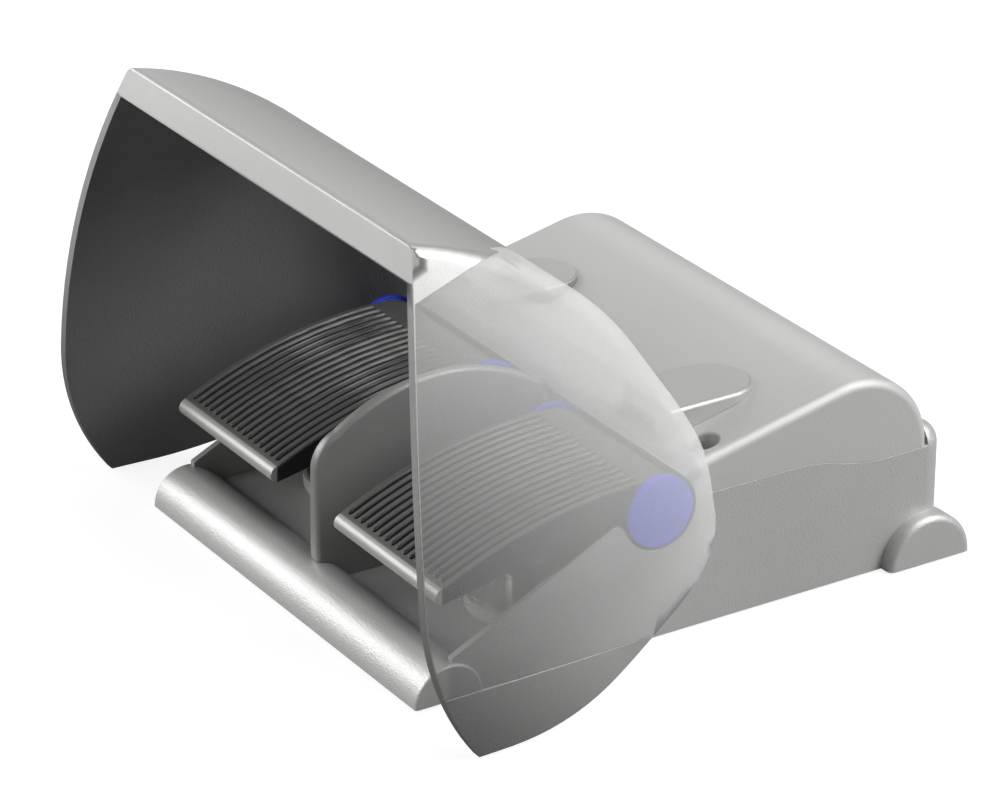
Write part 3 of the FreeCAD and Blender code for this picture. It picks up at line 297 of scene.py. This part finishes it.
housing_grey = housing_coat("housing_grey")
divider_grey = coated("divider_grey", grey(0.36), grain=0.16, roughness=0.4, grain_scale=1500.0,
                      metallic=0.35, edge=0.0015)
cover_grey = coated("cover_grey", grey(0.53), grain=0.15, roughness=0.45, grain_scale=1300.0,
                    metallic=0.2)
# Hood's outer coat, with painted shade darkening the low front of the cheeks.
hood_outside = painted_light_coat("hood_outside", grey(0.16), grey(0.46), 0, 90, grain=0.14, roughness=0.42,
                     grain_scale=1500.0, metallic=0.5)
# Painted shade: the inside of the hood darker than the outside.
hood_inside = coated("hood_inside", grey(0.2), grain=0.8, roughness=0.6, grain_scale=1000.0,
                     mottle=0.12)
# See-through cheek, with painted shade low at the front and a painted highlight high towards the
# ridge.
hood_clear = painted_light_coat("hood_clear", grey(0.08), grey(0.93), 0, 245, grain=0.2, roughness=0.5,
                   grain_scale=1200.0, alpha=0.5)
roof_clear = coated("roof_clear", grey(0.6), grain=0.2, roughness=0.5, grain_scale=1200.0,
                    alpha=0.3)
# Painted highlight: the lip's front paler than the rest of the hood.
hood_lip = coated("hood_lip", grey(0.72), grain=0.14, roughness=0.42, grain_scale=1500.0,
                  metallic=0.2)
pedal_dark = pedal_paint("pedal_dark")
cap_blue = moulded("cap_blue", (0.035, 0.075, 0.86), roughness=0.35, grain=0.08)
turret_light = moulded("turret_light", (0.5, 0.5, 0.47), roughness=0.35)
steel = turned_metal("steel", (0.62, 0.62, 0.6))
plate_steel = turned_metal("plate_steel", (0.5, 0.5, 0.46), roughness=0.35,
                           axis_scale=(2400.0, 30.0, 30.0))
bush_plastic = moulded("bush_plastic", (0.55, 0.55, 0.52), roughness=0.45)
contact_plastic = moulded("contact_plastic", (0.03, 0.03, 0.033), roughness=0.5, grain=0.3)
gland_grey = moulded("gland_grey", (0.16, 0.165, 0.17), roughness=0.45, grain=0.3)
# Black rubber of the seals and pads, also used for the painted shadow strip under the cover's front
# edge.
seal_black = moulded("seal_black", (0.02, 0.02, 0.02), roughness=0.8, grain=0.4)
brass = turned_metal("brass", (0.72, 0.52, 0.22), roughness=0.3)

node_materials = {
    "base_housing": housing_grey, "top_cover": cover_grey, "cover_gasket": seal_black,
    "cover_screws": steel, "protective_hood": hood_outside, "hood_screws": steel,
    "divider_fin": divider_grey, "divider_screws": steel, "rubber_pads": seal_black,
    "gland_body": gland_grey, "gland_locknut": gland_grey, "gland_dome_nut": gland_grey,
    "gland_seal": seal_black, "terminal_strip": contact_plastic, "earth_screw": brass}
pair_materials = {
    "pedal": pedal_dark, "pedal_caps": cap_blue, "pivot_shaft": steel,
    "pivot_bushes": bush_plastic, "spring_turret": turret_light, "turret_plate": plate_steel,
    "turret_screws": steel, "plunger": steel, "plunger_spring": steel,
    "contact_block": contact_plastic, "contact_screws": steel, "switch_pin": bush_plastic,
    "pin_seal": seal_black}
for name, material in pair_materials.items():
    for side in ("left_", "right_"):
        node_materials[side + name] = material
for name, material in node_materials.items():
    nodes[name].data.materials.clear()
    nodes[name].data.materials.append(material)


# Mesh helpers

def new_piece(name, mesh_data, materials, body=root_body):
    mesh = bpy.data.meshes.new(name)
    mesh_data.to_mesh(mesh)
    mesh_data.free()
    piece = bpy.data.objects.new(name, mesh)
    bpy.context.scene.collection.objects.link(piece)
    for material in materials:
        mesh.materials.append(material)
    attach(piece, body)
    return piece


def apply_modifiers(piece):
    graph = bpy.context.evaluated_depsgraph_get()
    mesh = bpy.data.meshes.new_from_object(piece.evaluated_get(graph))
    piece.modifiers.clear()
    piece.data = mesh


def extruded(points, x0, x1):
    """Side view outline, given as (y, z) in millimetres, drawn out from x0 to x1."""
    shape = bmesh.new()
    front = [shape.verts.new(place(x0, y, z)) for y, z in points]
    back = [shape.verts.new(place(x1, y, z)) for y, z in points]
    shape.faces.new(front)
    shape.faces.new(list(reversed(back)))
    for i in range(len(points)):
        j = (i + 1) % len(points)
        shape.faces.new([front[j], front[i], back[i], back[j]])
    bmesh.ops.recalc_face_normals(shape, faces=shape.faces)
    return shape


def on_circle(centre, radius, degrees):
    angle = math.radians(degrees)
    return (centre[0] + radius * math.cos(angle), centre[1] + radius * math.sin(angle))


def arc_points(centre, radius, start, end, count):
    return [on_circle(centre, radius, start + (end - start) * i / count)
            for i in range(count + 1)]


# Hood surfaces

def cubic(controls, t):
    a, b, c, d = controls
    return ((1 - t) ** 3 * a + 3 * (1 - t) ** 2 * t * b + 3 * (1 - t) * t ** 2 * c + t ** 3 * d)


def cheek_x(y, z):
    """Half width of the hood at a place of the side view."""
    up = (z - cheek_low_z) / (cheek_high_z - cheek_low_z)
    back = (y - cheek_front_y) / (cheek_back_y - cheek_front_y)
    return cubic(cheek_half_widths, up) - cubic(cheek_tapers, back)


def angle_of(centre, point):
    return math.degrees(math.atan2(point[1] - centre[1], point[0] - centre[0]))


def front_edge():
    """Front edge of the cheek, from the roof down to the floor."""
    rise = top_front[1] - nose[1]
    run = top_front[0] - nose[0]
    upper_radius = (rise ** 2 + run ** 2) / (2 * run)
    upper_centre = (nose[0] + upper_radius, nose[1])
    upper = arc_points(upper_centre, upper_radius, angle_of(upper_centre, top_front), 180, 40)
    lower_centre = (nose[0] + lower_front_radius, nose[1])
    lower_angle = math.degrees(math.asin((nose[1] - floor_z) / lower_front_radius))
    return upper + arc_points(lower_centre, lower_front_radius, 180, 180 + lower_angle, 24)[1:]


def boolean(piece, cutter, operation):
    step = piece.modifiers.new("boolean", "BOOLEAN")
    step.operation = operation
    step.solver = "EXACT"
    step.object = cutter
    apply_modifiers(piece)


def smooth(piece, degrees=35.0):
    for face in piece.data.polygons:
        face.use_smooth = True
    piece.data.set_sharp_from_angle(angle=math.radians(degrees))
    step = piece.modifiers.new("normals", "WEIGHTED_NORMAL")
    step.mode = "FACE_AREA_WITH_ANGLE"
    step.keep_sharp = True
    apply_modifiers(piece)


def welded_copy(name):
    """Mesh of a CAD node with its corners joined, for a piece of its own."""
    shape = bmesh.new()
    shape.from_mesh(nodes[name].data)
    bmesh.ops.remove_doubles(shape, verts=shape.verts, dist=0.000004)
    return shape


def looks_inward(centre, normal):
    out = centre - place(0, 60, 60)
    return out.x * normal.x + out.z * normal.z < -0.02


def paint_hood(piece):
    """Second material, painted shade, on the inner faces; third, a painted highlight, on the lip's
    front.
    """
    for face in piece.data.polygons:
        on_lip = face.normal.y < -0.6 and face.center.z > (top_front[1] - lip_height - 2) * mm
        face.material_index = 2 if on_lip else int(looks_inward(face.center, face.normal))


def slanted(outline, x0, x1):
    """Body drawn along the slant through an outline, given as (y, z) where X is slant_x."""
    shape = bmesh.new()
    rings = []
    for x in (x0, x1):
        run = x - slant_x
        rings.append([shape.verts.new(place(x, y - slant_y * run, z + slant_z * run))
                      for y, z in outline])
    near, far = rings
    shape.faces.new(near)
    shape.faces.new(list(reversed(far)))
    for i in range(len(outline)):
        j = (i + 1) % len(outline)
        shape.faces.new([near[j], near[i], far[i], far[j]])
    bmesh.ops.recalc_face_normals(shape, faces=shape.faces)
    return shape


def pane_outline():
    """See-through cheek, drawn back along the slant to the plane of the body's side."""
    front = []
    for y, z in front_edge():
        run = cheek_x(y, z) - slant_x
        if z < pane_front_z:
            front.append((y + pane_rim + slant_y * run, z - slant_z * run))
    front = [point for point in front if point[1] > pane_low_z]
    top = [(pane_ridge_y, cutter_top_z), (pane_ridge_y, pane_ridge_z)]
    return front + [(front[-1][0], pane_low_z), (cutter_rear_y, pane_low_z),
                    (cutter_rear_y, cutter_top_z)] + top


def upright(points, z0, z1):
    """Plan outline, given as (x, y) in millimetres, drawn up from z0 to z1."""
    shape = bmesh.new()
    low = [shape.verts.new(place(x, y, z0)) for x, y in points]
    high = [shape.verts.new(place(x, y, z1)) for x, y in points]
    shape.faces.new(low)
    shape.faces.new(list(reversed(high)))
    for i in range(len(points)):
        j = (i + 1) % len(points)
        shape.faces.new([low[j], low[i], high[i], high[j]])
    bmesh.ops.recalc_face_normals(shape, faces=shape.faces)
    return shape


def cutter_from(shapes, operations):
    """One cutting body from several; its faces carry the second material."""
    pieces = []
    for index, shape in enumerate(shapes):
        for face in shape.faces:
            face.material_index = 1
        mesh = bpy.data.meshes.new("cutter")
        shape.to_mesh(mesh)
        shape.free()
        piece = bpy.data.objects.new("cutter_%d" % index, mesh)
        bpy.context.scene.collection.objects.link(piece)
        mesh.materials.append(hood_outside)
        mesh.materials.append(hood_outside)
        pieces.append(piece)
    body = pieces[0]
    for piece, operation in zip(pieces[1:], operations):
        boolean(body, piece, operation)
        bpy.data.objects.remove(piece)
    return body


def eased(value, low, high):
    share = min(1.0, max(0.0, (value - low) / (high - low)))
    return share * share * (3 - 2 * share)


def rear_reach(point):
    """Move that carries the cheek's rear corner further out and back over the body's side."""
    x, y, z = abs(point.x) / mm, point.y / mm + middle_y, point.z / mm
    share = eased(x, 92, 106) * eased(y, 65, 122) * eased(z, 2, 38) * (1 - eased(z, 76, 130))
    return Vector((math.copysign(5.0 * share, point.x), 7.0 * share, 0)) * mm


def hood_part(name, materials, steps):
    """Part of the hood's shell, left by cutting the CAD hood's copy."""
    shape = welded_copy("protective_hood")
    for vertex in shape.verts:
        vertex.co += rear_reach(vertex.co)
    piece = new_piece(name, shape, materials)
    for face in piece.data.polygons:
        face.material_index = 0
    for cutter, operation in steps:
        boolean(piece, cutter, operation)
    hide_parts("protective_hood")
    return piece


def borrow_normals(piece, source):
    """Shading of the uncut hood, which the slivers beside the cuts would disturb."""
    for face in piece.data.polygons:
        face.use_smooth = True
    step = piece.modifiers.new("normals", "DATA_TRANSFER")
    step.object = source
    step.use_loop_data = True
    step.data_types_loops = {"CUSTOM_NORMAL"}
    step.loop_mapping = "POLYINTERP_NEAREST"
    apply_modifiers(piece)


def keep_outer_sheet(piece):
    """Leave the outer surface alone, without the cut faces and the inner surface."""
    shape = bmesh.new()
    shape.from_mesh(piece.data)
    cut = [face for face in shape.faces if face.material_index == 1
           or looks_inward(face.calc_center_median(), face.normal)]
    bmesh.ops.delete(shape, geom=cut, context="FACES")
    bmesh.ops.dissolve_degenerate(shape, dist=0.00002, edges=shape.edges)
    shape.to_mesh(piece.data)
    shape.free()


slant_x = 104.0
slant_y = 0.638
slant_z = 0.557
pane_rim = 0.7
pane_low_z = 4.4
pane_front_z = 181.0
pane_ridge_y = 54.3
pane_ridge_z = 190.6
cutter_top_z = 250.0
cutter_rear_y = 200.0
cheek_inner_x = 92.0
roof_corner_y = 38.0
roof_corner_x = 57.0
strip_front_y = 78.0
strip_half = 94.0
tongue_half_width = 16.8
tongue_front = [(63.8, 134.0), (-63.8, 158.0)]

cheek_cut = cutter_from(
    [slanted(pane_outline(), cheek_inner_x, 220.0),
     upright([(roof_corner_x, strip_front_y), (cheek_inner_x + 6, roof_corner_y),
              (cheek_inner_x + 7, strip_front_y)], 60.0, 220.0)],
    ["UNION"])
tongues = [extruded([(y, 20.0), (200.0, 20.0), (200.0, 85.3), (y, 85.3)],
                    x - tongue_half_width - 0.2, x + tongue_half_width + 0.2)
           for x, y in tongue_front]
roof_cut = cutter_from(
    [upright([(-strip_half, strip_front_y), (cheek_inner_x + 16, strip_front_y),
              (cheek_inner_x + 16, cutter_rear_y), (-strip_half, cutter_rear_y)], 30.0, 220.0)]
    + tongues, ["DIFFERENCE", "DIFFERENCE"])

hood = hood_part("hood_shell", [hood_outside, hood_inside, hood_lip],
                 [(cheek_cut, "DIFFERENCE"), (roof_cut, "DIFFERENCE")])
pane = hood_part("hood_pane", [hood_clear, hood_clear], [(cheek_cut, "INTERSECT")])
strip = hood_part("hood_roof_pane", [roof_clear, roof_clear],
                  [(cheek_cut, "DIFFERENCE"), (roof_cut, "INTERSECT")])
bpy.data.objects.remove(cheek_cut)
bpy.data.objects.remove(roof_cut)
whole = hood_part("whole_hood", [hood_outside], [])
smooth(whole)
for piece in (pane, strip):
    keep_outer_sheet(piece)
    borrow_normals(piece, whole)
bpy.data.objects.remove(whole)
paint_hood(hood)
smooth(hood)

# Pedals: thinner nose and grooves that reach it

def tread_z(y, drop):
    """Height of the tread at y, lowered square to it by drop."""
    reach = (tread_radius - drop) ** 2 - (y - tread_crest_y) ** 2
    return tread_top_z - tread_radius + math.sqrt(reach)


def nose_cutter(x0, x1):
    """What is taken off below the pedal's nose."""
    round_off = arc_points(nose_centre, nose_radius, 152, 285, 20)
    return extruded(round_off + below_nose, x0, x1)


def groove_ends(middle_x):
    """Front ends of the grooves, drawn on towards the nose."""
    shape = bmesh.new()
    front = groove_front_y + groove_half
    for index in range(groove_count):
        x = middle_x + (index - (groove_count - 1) / 2) * groove_pitch
        outline = arc_points((x, front), groove_half, 180, 360, 10)
        outline += [(x + groove_half, groove_joined_y), (x - groove_half, groove_joined_y)]
        low = [shape.verts.new(place(px, py, tread_z(py, groove_depth))) for px, py in outline]
        high = [shape.verts.new(place(px, py, tread_z(py, -above_tread))) for px, py in outline]
        shape.faces.new(low)
        shape.faces.new(list(reversed(high)))
        for i in range(len(outline)):
            j = (i + 1) % len(outline)
            shape.faces.new([low[j], low[i], high[i], high[j]])
    bmesh.ops.recalc_face_normals(shape, faces=shape.faces)
    bmesh.ops.triangulate(shape, faces=shape.faces)
    return shape


def round_normals(piece):
    """Exact shading for the rounded rib tops and groove floors."""
    mesh = piece.data
    centre = place(0, tread_crest_y, tread_top_z - tread_radius)
    current = [corner.vector.copy() for corner in mesh.corner_normals]
    for face in mesh.polygons:
        out = Vector((0, face.center.y - centre.y, face.center.z - centre.z)).normalized()
        if face.normal.dot(out) > 0.995:
            for index in face.loop_indices:
                at = mesh.vertices[mesh.loops[index].vertex_index].co
                current[index] = Vector((0, at.y - centre.y, at.z - centre.z)).normalized()
    mesh.normals_split_custom_set(current)


for side, sign in (("left_", -1), ("right_", 1)):
    name = side + "pedal"
    piece = new_piece(side + "tread", welded_copy(name), [pedal_dark], name)
    middle_x = sign * pedal_middle_x
    for shape in (nose_cutter(middle_x - pedal_half - 2, middle_x + pedal_half + 2),
                  groove_ends(middle_x)):
        cutter = cutter_from([shape], [])
        cutter.data.materials.clear()
        for face in cutter.data.polygons:
            face.material_index = 0
        boolean(piece, cutter, "DIFFERENCE")
        bpy.data.objects.remove(cutter)
    smooth(piece, 30.0)
    round_normals(piece)
    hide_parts(name)

# Hood screws, without the front left one, which would show as a dark spot behind the cheek
between_screws_y = 153.0
screw_mesh = welded_copy("hood_screws")
hidden = [face for face in screw_mesh.faces if face.calc_center_median().x < 0
          and face.calc_center_median().y < (between_screws_y - middle_y) * mm]
bmesh.ops.delete(screw_mesh, geom=hidden, context="FACES")
screws = new_piece("hood_fixings", screw_mesh, [steel])
smooth(screws, 30.0)
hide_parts("hood_screws")

# Return springs, copied from the CAD springs with their corners joined and shaded smooth
for side, sign in (("left_", -1), ("right_", 1)):
    name = side + "plunger_spring"
    coil = new_piece(side + "return_coil", welded_copy(name), [steel])
    smooth(coil, 40.0)
    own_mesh(coil)
    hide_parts(name)

# Painted shadow: a black strip under the cover's front edge, standing for the shade in the gap
# there
shadow_strip_y = (132.6, 133.6)
shadow_strip_z = (66.4, 69.2)
shadow_strip_half = 99.0
shadow_strip_shape = extruded([(shadow_strip_y[0], shadow_strip_z[0]), (shadow_strip_y[1], shadow_strip_z[0]), (shadow_strip_y[1], shadow_strip_z[1]),
                 (shadow_strip_y[0], shadow_strip_z[1])], -shadow_strip_half, shadow_strip_half)
shadow_strip = new_piece("cover_front_seal", shadow_strip_shape, [seal_black])

for name, node in nodes.items():
    if not node.hide_render:
        for face in node.data.polygons:
            face.use_smooth = True
        node.data.set_sharp_from_angle(angle=math.radians(30))


# Stage

def plain_plane(name, size, z, material):
    shape = bmesh.new()
    bmesh.ops.create_grid(shape, x_segments=1, y_segments=1, size=size)
    mesh = bpy.data.meshes.new(name)
    shape.to_mesh(mesh)
    shape.free()
    plane = bpy.data.objects.new(name, mesh)
    plane.location = (0, 0, z)
    mesh.materials.append(material)
    bpy.context.scene.collection.objects.link(plane)
    return plane


def floor_material():
    """White to the camera, with the object's shadow kept."""
    material, tree, shader = new_material("floor_white")
    shader.inputs["Base Color"].default_value = (0.25, 0.25, 0.25, 1)
    shader.inputs["Roughness"].default_value = 0.9
    path = tree.nodes.new("ShaderNodeLightPath")
    shader.inputs["Emission Color"].default_value = (1, 1, 1, 1)
    tree.links.new(math_node(tree, "MULTIPLY", path.outputs["Is Camera Ray"], 0.85),
                   shader.inputs["Emission Strength"])
    return material


plain_plane("floor", 6.0, -0.0002, floor_material())


def direction(azimuth, elevation):
    """Unit vector towards an azimuth counted from the front (-Y) to the right (+X)."""
    turn, rise = math.radians(azimuth), math.radians(elevation)
    return Vector((math.sin(turn) * math.cos(rise), -math.cos(turn) * math.cos(rise),
                   math.sin(rise)))


def soft_box(name, azimuth, elevation, distance, size, power):
    data = bpy.data.lights.new(name, "AREA")
    data.shape = "RECTANGLE"
    data.size = data.size_y = size
    data.energy = power
    light = bpy.data.objects.new(name, data)
    towards = direction(azimuth, elevation)
    light.location = Vector((0, 0, 0.08)) + towards * distance
    light.rotation_euler = (-towards).to_track_quat("-Z", "Y").to_euler()
    bpy.context.scene.collection.objects.link(light)


soft_box("front", -8, 26, 1.8, 1.0, 13.0)
soft_box("front_left", -58, 21, 1.8, 1.0, 14.0)
soft_box("rear_right", 130, 25, 1.8, 1.2, 18.5)
soft_box("rear_high", 140, 50, 1.1, 0.9, 10.5)
soft_box("rear_left", -120, 25, 1.8, 1.2, 4.5)

world = bpy.data.worlds.new("studio")
bpy.context.scene.world = world
world.use_nodes = True
tree = world.node_tree
background = tree.nodes["Background"]
path = tree.nodes.new("ShaderNodeLightPath")
background.inputs["Color"].default_value = (1, 1, 1, 1)
shown = math_node(tree, "MULTIPLY", path.outputs["Is Camera Ray"], 0.98)
tree.links.new(math_node(tree, "ADD", shown, 0.02), background.inputs["Strength"])

# Camera at the photograph's angle
camera_distance = 1.8774
camera_target = Vector((-0.00605, -0.01345, 0.0599))
camera_roll = math.radians(0.17)
back = direction(57.48, 25.17)
camera_data = bpy.data.cameras.new("camera")
camera_data.lens = 164.8
camera_data.sensor_width = 36.0
camera = bpy.data.objects.new("camera", camera_data)
camera.location = camera_target + back * camera_distance
facing = (-back).to_track_quat("-Z", "Y").to_matrix()
camera.rotation_euler = (facing @ Matrix.Rotation(camera_roll, 3, "Z")).to_euler()
bpy.context.scene.collection.objects.link(camera)
bpy.context.scene.camera = camera
bpy.context.scene.view_settings.view_transform = "Standard"
